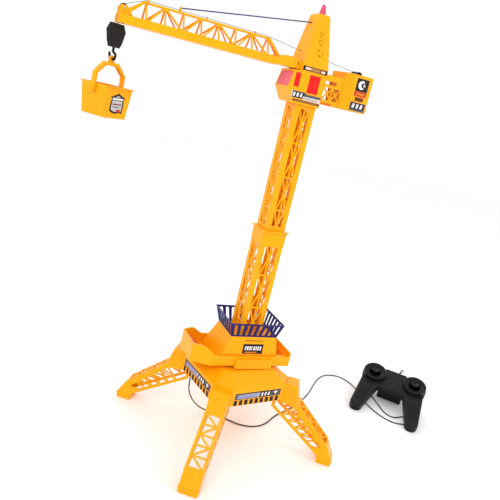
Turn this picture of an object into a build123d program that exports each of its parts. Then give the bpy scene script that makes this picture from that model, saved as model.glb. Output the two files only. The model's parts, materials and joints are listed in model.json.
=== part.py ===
from build123d import *
import os
from math import cos, hypot, pi, radians, sin, tan

os.makedirs("parts", exist_ok=True)

# ---------------------------------------------------------------- driving dimensions, mm
WALL = 2.2                      # moulded plastic wall
GAP = 0.3                       # clearance between pieces that move past each other

BASE_YAW = 9.44                 # the upper works stand turned by this much on the base
BASE_HALF = 89.4                # axis to each flat side of the base
BASE_Z = 112.0                  # underside of the base housing
BASE_EAVE_Z = 146.0             # top of the upright sides
BASE_TOP_Z = 166.0              # flat top under the platform
BASE_CORNER_R = 108.4           # axis to each cut corner, where a leg plugs on
LEG_R = 235.3                   # axis to the outer toe of a leg
LEG_WIDTH = 36.0

PLATFORM_Z = 172.0              # underside of the slewing platform
PLATFORM_HALF = 49.4
PLATFORM_RIM_Z = 192.5
BOW_X = -118.7
BOW_HALF = 31.2
BOW_RIM_Z = 208.8
STERN_X = 88.8

PEDESTAL_TOP_Z = 228.5
RAIL_TOP_Z = 259.0

LOWER_HALF = 23.45              # half width of the lower mast
UPPER_HALF = 20.35              # half width of the upper mast
LOWER_TOP_Z = 442.4
UPPER_TOP_Z = 678.0
LOWER_PITCH = 68.2
UPPER_PITCH = 63.2

CAB_HALF = 26.4
CAB_BACK_X = 22.4
CAB_TOP_Z = 733.0
HEAD_BLOCK_Z = 743.8
HEAD_TOP_Z = 832.6
LENS_TOP_Z = 850.0

JIB_HALF = 17.0
JIB_Z = 733.1                   # underside of the jib
JIB_BAND_Z = 746.0              # top of its solid lower band
JIB_CHORD_Z = 773.0
JIB_ROOT_X = -27.8
JIB_TIP_X = -344.4
JIB_SPLIT_X = -213.4            # the two mouldings of the jib meet here
NODE_0_X = -303.7               # outermost top node of the truss
NODE_PITCH = 30.1

FALL_X = -342.2                 # the hoist line hangs down here
PULLEY_X = -337.0
PULLEY_Z = 755.8
STRING_R = 0.4
DRUM_X = 94.9
DRUM_Z = 750.5
DRUM_CORE_R = 5.0

LOAD_YAW = 35.2                 # hook, bail and bucket hang turned by this much
HOOK_BLOCK_Z = 696.0
BUCKET_Z = 591.0
BUCKET_RIM_Z = 639.4
BUCKET_PIVOT_Z = 631.0
BAIL_TOP_Z = 673.3
EYE_Z = 678.6

LEAD_R = 1.3                    # radius of the handset's lead


def finish(builder, name):
    """Label a finished piece, report it and write its STEP file."""
    builder.part.label = name
    export_step(builder.part, f"parts/{name}.step")


def upright(angle, offset=0.0):
    """Upright plane: local x runs outward at the angle, local y is up, offset moves it sideways."""
    turn = radians(angle)
    out = Vector(cos(turn), sin(turn), 0)
    side = Vector(sin(turn), -cos(turn), 0)
    return Plane(origin=side * offset, x_dir=out, z_dir=side)


def bar(start, end, width, mode=Mode.ADD):
    """Straight bar of one width between two points of the open sketch."""
    trace(Edge.make_line(Vector(*start), Vector(*end)), width, mode=mode)


# ---------------------------------------------------------------- base housing
def octagon(half, corner_r):
    """Square with cut corners: flats at half, corners at corner_r."""
    cut = (half * 2**0.5 - corner_r) * 2**0.5
    near = half - cut
    Polygon((half, -near), (half, near), (near, half), (-near, half), (-half, near),
            (-half, -near), (-near, -half), (near, -half), align=None)


def base_level(z):
    return Plane.XY.offset(z).rotated((0, 0, BASE_YAW))


SPINDLE_R = 14.0
TOP_HALF = 58.0
with BuildPart() as base_shell:
    with BuildSketch(base_level(BASE_Z)):
        octagon(BASE_HALF, BASE_CORNER_R)
    extrude(amount=BASE_EAVE_Z - BASE_Z)
    with BuildSketch(base_level(BASE_EAVE_Z)):
        octagon(BASE_HALF, BASE_CORNER_R)
    with BuildSketch(base_level(BASE_TOP_Z)):
        octagon(TOP_HALF, TOP_HALF * 1.25)
    loft()
    with BuildSketch(base_level(BASE_Z)):
        octagon(BASE_HALF - WALL, BASE_CORNER_R - WALL)
    extrude(amount=BASE_EAVE_Z - BASE_Z, mode=Mode.SUBTRACT)
    with BuildSketch(base_level(BASE_EAVE_Z)):
        octagon(BASE_HALF - WALL, BASE_CORNER_R - WALL)
    with BuildSketch(base_level(BASE_TOP_Z - WALL)):
        octagon(TOP_HALF - WALL, TOP_HALF * 1.25 - WALL)
    loft(mode=Mode.SUBTRACT)
    with BuildSketch(Plane.XY.offset(BASE_TOP_Z - 14)):
        Circle(SPINDLE_R + 4)
    extrude(amount=14)
    with BuildSketch(Plane.XY.offset(BASE_TOP_Z - 14)):
        Circle(SPINDLE_R + 0.06)
    extrude(amount=14, mode=Mode.SUBTRACT)
finish(base_shell, "base_shell")

COVER_T = 2.4
GLAND_XY = (-82.0, 30.0)
with BuildPart() as base_cover:
    with BuildSketch(base_level(BASE_Z)):
        octagon(BASE_HALF - WALL - 0.1, BASE_CORNER_R - WALL - 0.1)
        with Locations((0, 0)):
            Circle(9, mode=Mode.SUBTRACT)
    extrude(amount=COVER_T)
    with BuildSketch(Plane.XY.offset(BASE_Z)):
        with Locations(GLAND_XY):
            Circle(2.6)
    extrude(amount=COVER_T, mode=Mode.SUBTRACT)
finish(base_cover, "base_bottom_cover")

with BuildPart() as thrust_ring:
    with BuildSketch(Plane.XY.offset(BASE_TOP_Z)):
        Circle(36)
        Circle(SPINDLE_R + 0.5, mode=Mode.SUBTRACT)
    extrude(amount=PLATFORM_Z - GAP - BASE_TOP_Z)
finish(thrust_ring, "thrust_ring")


# ---------------------------------------------------------------- legs
LEG_TOP = (131.0, 148.5)
LEG_SHOULDER = (141.0, 112.0)
LEG_KNEE = (220.0, 42.0)
LEG_TOE = (LEG_R, 13.0)
LEG_CHORD_IN = (90.0, 92.0)
LEG_CHORD_OUT = (186.0, 28.0)


def leg_outline():
    """Side view of a leg: plug corner, shoulder, sloping chord, knee and foot."""
    Polygon(
            (90.0, BASE_Z - 0.2), (BASE_CORNER_R, BASE_Z - 0.2), (BASE_CORNER_R, 148.5), LEG_TOP,
            LEG_SHOULDER, LEG_KNEE, LEG_TOE, (LEG_R, 0), (207, 0), (205, 15), LEG_CHORD_OUT,
            LEG_CHORD_IN, align=None)


def leg_cavity():
    """What is open between the two cheeks, behind the outer plate."""
    Polygon(
            (86, BASE_Z - 0.2), (111, BASE_Z - 0.2), (111, 146), (128.5, 146), (138.2, 111.5),
            (217.6, 41.0), (229.5, 16), (207, 16), (205, 12), (186, 22), (86, 80), align=None)


def strut(start, end, width):
    """Keeps a bar standing in a window, reaching into the frame at both ends."""
    reach = (end - start).normalized() * 8
    trace(Edge.make_line(start - reach, end + reach), width, mode=Mode.SUBTRACT)


def leg_side_windows():
    """Triangular windows of the cheeks, between the chords."""
    steps = 5
    upper = (Vector(134.5, 108.0), Vector(213.0, 38.6))
    lower = (Vector(112.0, 84.0), Vector(190.0, 31.5))
    Polygon((96.5, 106), (96.5, 94.5), (116, 81.6), (190.5, 32.6), (209, 34), (134.5, 103),
            (112, 106), align=None)
    tops = [upper[0] + (upper[1] - upper[0]) * ((step + 0.25) / steps) for step in range(steps)]
    feet = [lower[0] + (lower[1] - lower[0]) * ((step + 0.25) / steps) for step in range(steps)]
    for top, foot in zip(tops, feet):
        strut(top, foot, 3.0)
    for top, foot in zip(tops[1:], feet[:-1]):
        strut(top, foot, 2.6)


def leg_face_plane(angle):
    """Plane on the sloping outer plate: x runs down the slope, z points outward."""
    frame = upright(angle)
    start = frame.from_local_coords(Vector(LEG_SHOULDER[0], LEG_SHOULDER[1], 0))
    end = frame.from_local_coords(Vector(LEG_KNEE[0], LEG_KNEE[1], 0))
    down = (end - start).normalized()
    side = frame.z_dir
    return Plane(origin=start, x_dir=down, z_dir=down.cross(side) * -1)


def leg_face_windows(length):
    """K-truss windows of the outer plate, in pairs of triangles."""
    bays = 5
    half = LEG_WIDTH / 2 - 5.0
    first = 6.0
    pitch = (length - first - 3.0) / bays
    with Locations((first + bays * pitch / 2, 0)):
        Rectangle(bays * pitch, 2 * half)
    for bay in range(bays + 1):
        x = first + bay * pitch
        side = half if bay % 2 else -half
        bar((x, -half - 2), (x, half + 2), 3.4 if 0 < bay < bays else 0.6, Mode.SUBTRACT)
        if bay < bays:
            bar((x - 1, side * 1.1), (x + pitch + 1, -side * 1.1), 3.4, Mode.SUBTRACT)


def build_leg(name, angle):
    """One splayed leg: outer plate and two lattice cheeks, open below."""
    length = hypot(LEG_KNEE[0] - LEG_SHOULDER[0], LEG_KNEE[1] - LEG_SHOULDER[1])
    with BuildPart() as leg:
        with BuildSketch(upright(angle)):
            leg_outline()
        extrude(amount=LEG_WIDTH / 2, both=True)
        with BuildSketch(upright(angle)):
            leg_cavity()
        extrude(amount=LEG_WIDTH / 2 - WALL, both=True, mode=Mode.SUBTRACT)
        with BuildSketch(upright(angle)):
            leg_side_windows()
        extrude(amount=LEG_WIDTH, both=True, mode=Mode.SUBTRACT)
        with BuildSketch(leg_face_plane(angle)):
            leg_face_windows(length)
        extrude(amount=8, both=True, mode=Mode.SUBTRACT)
        with BuildSketch(upright(angle)):
            Polygon((LEG_R - 4, 12.5), (LEG_R + 1.4, 12.5), (LEG_R + 1.4, 9), (LEG_R - 4, 9), align=None)
        extrude(amount=LEG_WIDTH / 2 + 1.2, both=True)
    finish(leg, name)


for leg_name, quarter in (("leg_back", 0), ("leg_left", 1), ("leg_front", 2), ("leg_right", 3)):
    build_leg(leg_name, BASE_YAW + 45 + 90 * quarter)


# ---------------------------------------------------------------- slewing drive
SLEW_TEETH = 60
PINION_TEETH = 12
GEAR_Z = 140.0


def spur_gear(teeth, bore, phase=0.0, module=1.0):
    """Spur gear outline with straight-sided teeth, free to mesh with backlash."""
    pitch_r = module * teeth / 2
    root_r = pitch_r - 1.15 * module
    tip_r = pitch_r + 0.8 * module
    Circle(root_r)
    with PolarLocations(0, teeth, start_angle=phase):
        Polygon((root_r - 0.4, -0.72 * module), (tip_r, -0.3 * module), (tip_r, 0.3 * module),
                (root_r - 0.4, 0.72 * module), align=None)
    if bore:
        Circle(bore, mode=Mode.SUBTRACT)


SLEW_PINION_X = (SLEW_TEETH + PINION_TEETH) / 2 + 0.25
with BuildPart() as slew_gear:
    with BuildSketch(Plane.XY.offset(GEAR_Z)):
        spur_gear(SLEW_TEETH, 9)
    extrude(amount=6)
finish(slew_gear, "slew_gear")

with BuildPart() as spindle:
    with BuildSketch(Plane.XY.offset(GEAR_Z + 6)):
        Circle(SPINDLE_R)
        Circle(9, mode=Mode.SUBTRACT)
    extrude(amount=PLATFORM_Z - GEAR_Z - 6)
finish(spindle, "slew_spindle")

with BuildPart() as slew_pinion:
    with BuildSketch(Plane.XY.offset(GEAR_Z)):
        with Locations((SLEW_PINION_X, 0)):
            spur_gear(PINION_TEETH, 0, 180 / PINION_TEETH)
    extrude(amount=6)
    with BuildSketch(Plane.XY.offset(GEAR_Z - 6)):
        with Locations((SLEW_PINION_X, 0)):
            Circle(1.0)
    extrude(amount=6)
finish(slew_pinion, "slew_pinion")

with BuildPart() as slew_motor:
    with BuildSketch(Plane.XY.offset(BASE_Z + COVER_T)):
        with Locations((SLEW_PINION_X, 0)):
            Circle(10)
            Rectangle(15, 24, mode=Mode.INTERSECT)
    extrude(amount=19)
    with BuildSketch(Plane.XY.offset(BASE_Z + COVER_T + 19)):
        with Locations((SLEW_PINION_X, 0)):
            Circle(3.2)
    extrude(amount=2)
    with BuildSketch(Plane.XY.offset(BASE_Z + COVER_T + 6)):
        with Locations((SLEW_PINION_X, 0)):
            Circle(1.05)
    extrude(amount=20, mode=Mode.SUBTRACT)
finish(slew_motor, "slew_motor")


# ---------------------------------------------------------------- slewing platform
def platform_plan(inset):
    """Plan of the platform: long tray, narrowing to a flat bow at the left."""
    half = PLATFORM_HALF - inset
    bow = BOW_X + inset
    bow_half = BOW_HALF - inset * 0.8
    Polygon((STERN_X - inset, -half), (STERN_X - inset, half), (-82.7 + inset * 0.3, half),
            (bow, bow_half), (bow, -bow_half), (-82.7 + inset * 0.3, -half), align=None)


with BuildPart() as platform:
    with BuildSketch(Plane.XY.offset(PLATFORM_Z)):
        platform_plan(0)
    extrude(amount=60)
    with BuildSketch(Plane.XZ):
        with BuildLine():
            Polyline((-69, PLATFORM_RIM_Z), (STERN_X - 3.2, PLATFORM_RIM_Z), (STERN_X - 3.2, 201),
                     (STERN_X + 2, 201), (STERN_X + 2, PLATFORM_Z - 1), (BOW_X - 2, PLATFORM_Z - 1),
                     (BOW_X - 2, BOW_RIM_Z), (-102, BOW_RIM_Z))
            Spline((-102, BOW_RIM_Z), (-86, 202), (-69, PLATFORM_RIM_Z),
                   tangents=((1, -0.1), (1, -0.15)))
        make_face()
    extrude(amount=80, both=True, mode=Mode.INTERSECT)
    with BuildSketch(Plane.XY.offset(PLATFORM_Z + WALL)):
        platform_plan(2.6)
    extrude(amount=60, mode=Mode.SUBTRACT)
    with BuildSketch(Plane.XY.offset(PLATFORM_Z + WALL)):
        with Locations((75.6, 0)):
            Rectangle(21.4, 2 * PLATFORM_HALF - 4)
            with Locations((0, -14)):
                Rectangle(15, 36, mode=Mode.SUBTRACT)
    extrude(amount=14)
    with BuildSketch(Plane.XY.offset(168.0)):
        for side in (-1, 1):
            with Locations((7.5, side * (PLATFORM_HALF + 1.2))):
                Rectangle(79, 8.6)
    extrude(amount=20)
    with BuildSketch(Plane.XY.offset(PLATFORM_Z - 5)):
        Circle(SPINDLE_R + 24)
    extrude(amount=5, mode=Mode.SUBTRACT)
    with BuildSketch(Plane.XY.offset(PLATFORM_Z)):
        Circle(9)
    extrude(amount=WALL, mode=Mode.SUBTRACT)
finish(platform, "platform_tray")

with BuildPart() as bow_window:
    with BuildSketch(Plane.XZ):
        Polygon((-115.4, 203.8), (-86, 178.2), (-84.4, 180), (-113.8, 205.6), align=None)
    extrude(amount=27.6, both=True)
finish(bow_window, "bow_window")


def level(z, x_low, x_high, half):
    """Level rectangle, symmetrical about the middle, to loft between."""
    with BuildSketch(Plane.XY.offset(z)) as ring:
        with Locations(((x_low + x_high) / 2, 0)):
            Rectangle(x_high - x_low, 2 * half)
    return ring.sketch


PEDESTAL_FOOT_Z = PLATFORM_Z + WALL
with BuildPart() as pedestal:
    loft([level(PEDESTAL_FOOT_Z, -69, 62.5, 46.0), level(PEDESTAL_TOP_Z, -44.7, 52.9, 36.6)])
    loft([level(PEDESTAL_FOOT_Z, -66.4, 60.1, 43.6), level(PEDESTAL_TOP_Z - WALL, -43.5, 51.0, 34.6)],
         mode=Mode.SUBTRACT)
    with BuildSketch(Plane.XY.offset(PEDESTAL_TOP_Z - 4)):
        Circle(10)
    extrude(amount=6, mode=Mode.SUBTRACT)
finish(pedestal, "pedestal")


# ---------------------------------------------------------------- railing basket
def rail_level(z, shrink):
    """Outline of the flared railing at one height."""
    share = (z - PEDESTAL_TOP_Z) / (RAIL_TOP_Z - PEDESTAL_TOP_Z)
    return level(z, -46 - 9 * share + shrink, 53 + 7 * share - shrink, 36.2 + 9.1 * share - shrink)


PICKET_PITCH = 12.4
PICKET_W = 5.4
with BuildPart() as railing:
    loft([rail_level(PEDESTAL_TOP_Z, 0), rail_level(RAIL_TOP_Z, 0)])
    loft([rail_level(PEDESTAL_TOP_Z - 1, 2.0), rail_level(RAIL_TOP_Z + 1, 2.0)], mode=Mode.SUBTRACT)
    with BuildSketch(Plane.XZ):
        for step in range(8):
            x = 3.5 + (step - 3.5) * PICKET_PITCH
            lean = (x - 3.5) * 0.09
            low = x - (PICKET_PITCH - PICKET_W) / 2
            high = x + (PICKET_PITCH - PICKET_W) / 2
            Polygon((low - lean * 0.3, 231.6), (high - lean * 0.3, 231.6),
                    (high + lean, 255.6), (low + lean, 255.6), align=None)
    extrude(amount=80, both=True, mode=Mode.SUBTRACT)
    with BuildSketch(Plane.YZ):
        for step in range(6):
            y = (step - 2.5) * PICKET_PITCH * 0.94
            lean = y * 0.12
            low = y - (PICKET_PITCH - PICKET_W) / 2
            high = y + (PICKET_PITCH - PICKET_W) / 2
            Polygon((low - lean * 0.3, 231.6), (high - lean * 0.3, 231.6),
                    (high + lean, 255.6), (low + lean, 255.6), align=None)
    extrude(amount=100, both=True, mode=Mode.SUBTRACT)
finish(railing, "railing")


# ---------------------------------------------------------------- mast
def mast_windows(half, hubs, pitch, z_low, z_high):
    """Lattice windows of one mast face: spokes from round hubs to the side stiles."""
    stile = 9.8
    inner = half - stile
    for hub in hubs:
        low = max(hub - pitch / 2 + 1.5, z_low)
        high = min(hub + pitch / 2 - 1.5, z_high)
        with Locations((0, (low + high) / 2)):
            Rectangle(2 * inner, high - low)
    for hub in hubs:
        bar((0, hub - pitch / 2), (0, hub + pitch / 2), 2.6, Mode.SUBTRACT)
        for side in (-1, 1):
            bar((-side * inner, hub - pitch / 2), (side * inner, hub + pitch / 2), 2.8, Mode.SUBTRACT)
        with Locations((0, hub)):
            Circle(4.6, mode=Mode.SUBTRACT)


def build_mast(name, half, z_low, z_high, hubs, pitch, window_low, window_high, lip):
    """Square lattice tube with a boss on every hub, and a lip at the top where another plugs in."""
    with BuildPart() as mast:
        with BuildSketch(Plane.XY.offset(z_low)):
            Rectangle(2 * half, 2 * half)
            Rectangle(2 * half - 2 * WALL, 2 * half - 2 * WALL, mode=Mode.SUBTRACT)
        extrude(amount=z_high - z_low)
        for plane in (Plane.XZ, Plane.YZ):
            with BuildSketch(plane):
                mast_windows(half, hubs, pitch, window_low, window_high)
            extrude(amount=half + 5, both=True, mode=Mode.SUBTRACT)
        for quarter in range(4):
            turn = radians(90 * quarter)
            out = Vector(cos(turn), sin(turn), 0)
            face = Plane(origin=out * half, x_dir=Vector(-sin(turn), cos(turn), 0), z_dir=out)
            with BuildSketch(face):
                for hub in hubs:
                    if window_low <= hub <= window_high:
                        with Locations((0, hub)):
                            Circle(3.8)
            extrude(amount=0.8)
        if lip:
            with BuildSketch(Plane.XY.offset(z_high - 3)):
                Rectangle(2 * half + 7, 2 * half + 7)
                Rectangle(2 * UPPER_HALF + 0.2, 2 * UPPER_HALF + 0.2, mode=Mode.SUBTRACT)
            extrude(amount=3)
            with BuildSketch(Plane.XY.offset(z_high - 29)):
                Rectangle(2 * half + 1.6, 2 * half + 1.6)
                Rectangle(2 * half - 1, 2 * half - 1, mode=Mode.SUBTRACT)
            extrude(amount=26)
    finish(mast, name)


build_mast("mast_lower", LOWER_HALF, PEDESTAL_TOP_Z, LOWER_TOP_Z,
           [251.1 + LOWER_PITCH * k for k in range(3)], LOWER_PITCH, 232.0, 411.0, True)
build_mast("mast_upper", UPPER_HALF, LOWER_TOP_Z - 29, UPPER_TOP_Z,
           [451.4 + UPPER_PITCH * k for k in range(4)], UPPER_PITCH, 451.4, 672.6, False)


# ---------------------------------------------------------------- operator's cab and tower head
CAB_FRONT = ((-32.5, 678.0), (-47.2, 701.8), (-40.5, CAB_TOP_Z))
SIDE_WINDOWS = (
    ((-37.6, 705.6), (-27.2, 705.6), (-27.2, 729.6), (-37.6, 729.6)),
    ((-9.5, 699.6), (12.2, 699.6), (12.2, 730.6), (-9.5, 730.6)),
)
with BuildPart() as cab:
    with BuildSketch(Plane.XZ):
        Polygon(*CAB_FRONT, (CAB_BACK_X, CAB_TOP_Z), (CAB_BACK_X, 678.0), align=None)
    extrude(amount=CAB_HALF, both=True)
    with BuildSketch(Plane.XZ):
        Polygon((-31.3, 680.2), (-44.9, 702.2), (-38.7, 730.8), (20.2, 730.8), (20.2, 680.2), align=None)
    extrude(amount=CAB_HALF - WALL, both=True, mode=Mode.SUBTRACT)
    with BuildSketch(Plane.XZ):
        for corners in SIDE_WINDOWS:
            Polygon(*corners, align=None)
    extrude(amount=CAB_HALF + 5, both=True, mode=Mode.SUBTRACT)
    with BuildSketch(Plane.YZ.offset(-60)):
        with Locations((0, 716.7)):
            Rectangle(2 * CAB_HALF - 5.6, 25.8)
    extrude(amount=24, mode=Mode.SUBTRACT)
finish(cab, "cab_shell")

with BuildPart() as windshield:
    with BuildSketch(Plane.XZ):
        Polygon((-46.1, 703.9), (-40.6, 729.5), (-39.2, 729.5), (-44.7, 703.9), align=None)
    extrude(amount=CAB_HALF - 2.9, both=True)
finish(windshield, "cab_windshield")

with BuildPart() as side_windows:
    with BuildSketch(Plane.XZ):
        for corners in SIDE_WINDOWS:
            Polygon(*corners, align=None)
    extrude(amount=CAB_HALF - 0.7, both=True)
    with BuildSketch(Plane.XZ):
        with Locations((-10, 718)):
            Rectangle(90, 50)
    extrude(amount=CAB_HALF - 2.3, both=True, mode=Mode.SUBTRACT)
finish(side_windows, "cab_side_windows")


STRING_OUT = (JIB_ROOT_X - 2, 767.0)
STAY_HEAD = (-17.6, 816.3)
STAY_JIB = (-248.4, 778.3)
VENTS = ((-2.0, 799.5, 3.4), (-1.0, 785.6, 4.0), (0.4, 769.0, 5.0))
with BuildPart() as tower_head:
    with BuildSketch(Plane.XY.offset(CAB_TOP_Z)):
        with Locations(((JIB_ROOT_X + 23) / 2, 0)):
            Rectangle(23 - JIB_ROOT_X, 2 * CAB_HALF)
    extrude(amount=HEAD_BLOCK_Z - CAB_TOP_Z)
    loft([level(HEAD_BLOCK_Z, JIB_ROOT_X, 23, CAB_HALF), level(829.6, -16.6, 8.5, 13.9)])
    loft([level(829.6, -16.6, 8.5, 13.9), level(HEAD_TOP_Z, -14.0, 6.2, 11.2)])
    loft([level(CAB_TOP_Z, JIB_ROOT_X + WALL, 23 - WALL, CAB_HALF - WALL),
          level(828.0, -14.6, 6.5, 11.9)], mode=Mode.SUBTRACT)
    with BuildSketch(Plane.XZ):
        for x, z, r in VENTS:
            for start in (100, 220, 340):
                trace(Edge.make_circle(r, Plane(origin=(x, z, 0)), start, start + 78), 1.3)
    extrude(amount=40, both=True, mode=Mode.SUBTRACT)
    with BuildSketch(Plane.YZ.offset(-40)):
        with Locations((0, STRING_OUT[1])):
            Circle(1.4)
        with Locations((0, STAY_HEAD[1])):
            Circle(1.5)
    extrude(amount=30, mode=Mode.SUBTRACT)
    with BuildSketch(Plane.YZ.offset(10)):
        with Locations((-1.0, 763.6)):
            Circle(2.0)
    extrude(amount=20, mode=Mode.SUBTRACT)
    with BuildSketch(Plane.XY.offset(HEAD_TOP_Z - 6)):
        with Locations((-1.7, 0)):
            Circle(4.0)
    extrude(amount=8, mode=Mode.SUBTRACT)
finish(tower_head, "tower_head")

with BuildPart() as lens:
    with BuildSketch(Plane.XZ):
        Polygon((-1.7, HEAD_TOP_Z), (4.3, HEAD_TOP_Z), (4.3, HEAD_TOP_Z + 1.6), (2.0, 846.0),
                (1.2, 848.4), (-0.2, 849.7), (-1.7, LENS_TOP_Z), align=None)
    revolve(axis=Axis((-1.7, 0, 0), (0, 0, 1)))
    with BuildSketch(Plane.XY.offset(HEAD_TOP_Z)):
        with Locations((-1.7, 0)):
            Circle(2.6)
    extrude(amount=11, mode=Mode.SUBTRACT)
finish(lens, "warning_lens")

with BuildPart() as lamp:
    with BuildSketch(Plane.XY.offset(HEAD_TOP_Z - 4)):
        with Locations((-1.7, 0)):
            Circle(2.4)
    extrude(amount=10)
    fillet(lamp.faces().sort_by(Axis.Z)[-1].edges(), 2.2)
finish(lamp, "lamp")


# ---------------------------------------------------------------- counter-jib and winch house
HOUSE_X = (62.0, 75.0, 113.2)
HOUSE_Z = (686.8, 751.2)
HOUSE_HALF = 37.3
COUNTER_HALF = 23.0
with BuildPart() as counter_jib:
    with BuildSketch(Plane.XZ):
        Polygon((CAB_BACK_X, 691.0), (CAB_BACK_X, 732.8), (23.1, 732.8), (23.1, 738.8),
                (HOUSE_X[0], 740.0), (HOUSE_X[0], HOUSE_Z[0]), (48, HOUSE_Z[0]), (48, 691.0), align=None)
    extrude(amount=COUNTER_HALF, both=True)
    with BuildSketch(Plane.XZ):
        Polygon((20, 693.2), (20, 736.6), (HOUSE_X[0] + 2, 737.8), (HOUSE_X[0] + 2, 689),
                (50.2, 689), (50.2, 693.2), align=None)
    extrude(amount=COUNTER_HALF - WALL, both=True, mode=Mode.SUBTRACT)
    with BuildSketch(Plane.XZ):
        Polygon((25.5, 722.6), (49, 722.6), (49, 728.8), (25.5, 728.8), align=None)
        Polygon((25, 696), (25, 717.5), (60, 717.5), (60, 696), align=None)
        bars_in = (((25, 696), (42.5, 717.5)), ((25, 717.5), (42.5, 696)), ((42.5, 695), (42.5, 718)),
                   ((42.5, 696), (60, 717.5)), ((42.5, 717.5), (60, 696)))
        for start, end in bars_in:
            bar(start, end, 2.2, Mode.SUBTRACT)
    extrude(amount=COUNTER_HALF + 5, mode=Mode.SUBTRACT)
    with BuildSketch(Plane.XZ):
        Polygon((26, 696), (60, 696), (60, 731), (26, 731), align=None)
    extrude(amount=-COUNTER_HALF - 5, mode=Mode.SUBTRACT)
finish(counter_jib, "counter_jib")


def house_plan(inset):
    """Plan of the winch house: ramped front, square tail."""
    front_half = COUNTER_HALF + 1 - inset
    half = HOUSE_HALF - inset
    Polygon((HOUSE_X[0] + inset, -front_half), (HOUSE_X[1], -half), (HOUSE_X[2] - inset, -half),
            (HOUSE_X[2] - inset, half), (HOUSE_X[1], half), (HOUSE_X[0] + inset, front_half), align=None)


with BuildPart() as house:
    with BuildSketch(Plane.XY.offset(HOUSE_Z[0])):
        house_plan(0)
    extrude(amount=HOUSE_Z[1] - HOUSE_Z[0])
    with BuildSketch(Plane.XY.offset(HOUSE_Z[0])):
        house_plan(WALL)
    extrude(amount=HOUSE_Z[1] - HOUSE_Z[0] - WALL, mode=Mode.SUBTRACT)
    with BuildSketch(Plane.XY.offset(HOUSE_Z[1] - 4)):
        with Locations((DRUM_X, -4.4)):
            Rectangle(16.8, 28.6)
    extrude(amount=6, mode=Mode.SUBTRACT)
finish(house, "winch_house")

with BuildPart() as house_cover:
    with BuildSketch(Plane.XY.offset(HOUSE_Z[0])):
        house_plan(WALL + 0.1)
    extrude(amount=2)
finish(house_cover, "winch_house_cover")

WINCH_GEAR_TEETH = 20
WINCH_PINION_TEETH = 12
WINCH_MODULE = 0.7
WINCH_PINION_Z = DRUM_Z - (WINCH_GEAR_TEETH + WINCH_PINION_TEETH) * WINCH_MODULE / 2 - 0.2
FRAME_PLATES = (-17.4, 6.2)
PLATE_T = 2.4
with BuildPart() as winch_frame:
    with BuildSketch(Plane.XY.offset(HOUSE_Z[0] + 2)):
        with Locations((95, -4.4)):
            Rectangle(22, 26.0)
    extrude(amount=2.4)
    for y in FRAME_PLATES:
        with BuildSketch(Plane.XZ.offset(-y)):
            Polygon((84, HOUSE_Z[0] + 2), (106, HOUSE_Z[0] + 2), (100.2, 752.6), (89.6, 752.6),
                    align=None)
            with Locations((DRUM_X, WINCH_PINION_Z)):
                Circle(1.3, mode=Mode.SUBTRACT)
        extrude(amount=-PLATE_T)
finish(winch_frame, "winch_frame")

with BuildPart() as drum:
    for y_start, width, radius in ((-14.2, 1.3, DRUM_CORE_R + 2.5), (-12.9, 12.6, DRUM_CORE_R),
                                   (-0.3, 1.3, DRUM_CORE_R + 2.5)):
        with BuildSketch(Plane.XZ.offset(-y_start)):
            with Locations((DRUM_X, DRUM_Z)):
                Circle(radius)
                Circle(2.05, mode=Mode.SUBTRACT)
        extrude(amount=-width)
finish(drum, "winch_drum")

with BuildPart() as winch_gear:
    with BuildSketch(Plane.XZ.offset(-1.0)):
        with Locations((DRUM_X, DRUM_Z)):
            spur_gear(WINCH_GEAR_TEETH, 2.05, 0, WINCH_MODULE)
    extrude(amount=-4.0)
finish(winch_gear, "winch_gear")

with BuildPart() as winch_shaft:
    with BuildSketch(Plane.XZ.offset(-FRAME_PLATES[0] - PLATE_T)):
        with Locations((DRUM_X, DRUM_Z)):
            Circle(2.0)
    extrude(amount=FRAME_PLATES[0] + PLATE_T - FRAME_PLATES[1])
finish(winch_shaft, "winch_shaft")

with BuildPart() as winch_pinion:
    with BuildSketch(Plane.XZ.offset(-1.0)):
        with Locations((DRUM_X, WINCH_PINION_Z)):
            spur_gear(WINCH_PINION_TEETH, 0, 90 + 180 / WINCH_PINION_TEETH, WINCH_MODULE)
    extrude(amount=-4.0)
    with BuildSketch(Plane.XZ.offset(-5.0)):
        with Locations((DRUM_X, WINCH_PINION_Z)):
            Circle(1.0)
    extrude(amount=-8)
finish(winch_pinion, "winch_pinion")

with BuildPart() as winch_motor:
    with BuildSketch(Plane.XZ.offset(-FRAME_PLATES[1] - PLATE_T)):
        with Locations((DRUM_X, WINCH_PINION_Z)):
            Circle(9)
            Rectangle(24, 14, mode=Mode.INTERSECT)
    extrude(amount=-20)
    with BuildSketch(Plane.XZ.offset(-FRAME_PLATES[1] - PLATE_T)):
        with Locations((DRUM_X, WINCH_PINION_Z)):
            Circle(1.05)
    extrude(amount=-9, mode=Mode.SUBTRACT)
finish(winch_motor, "winch_motor")


# ---------------------------------------------------------------- jib
CHORD_HALF = 2.2
FACE_FOOT_Y = JIB_HALF - 1.2
NODES = [NODE_0_X + NODE_PITCH * k for k in range(8)]
RISING_BAYS = (0, 2, 3, 5)      # bays whose diagonal climbs towards the cab


def jib_face(side):
    """Plane of one leaning lattice face: local y climbs from the band to the chord."""
    foot = Vector(0, side * FACE_FOOT_Y, JIB_BAND_Z - 1.5)
    top = Vector(0, side * (CHORD_HALF - 0.8), JIB_CHORD_Z - 1.5)
    climb = (top - foot).normalized()
    return Plane(origin=foot, x_dir=(1, 0, 0), z_dir=Vector(1, 0, 0).cross(climb)), (top - foot).length


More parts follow.
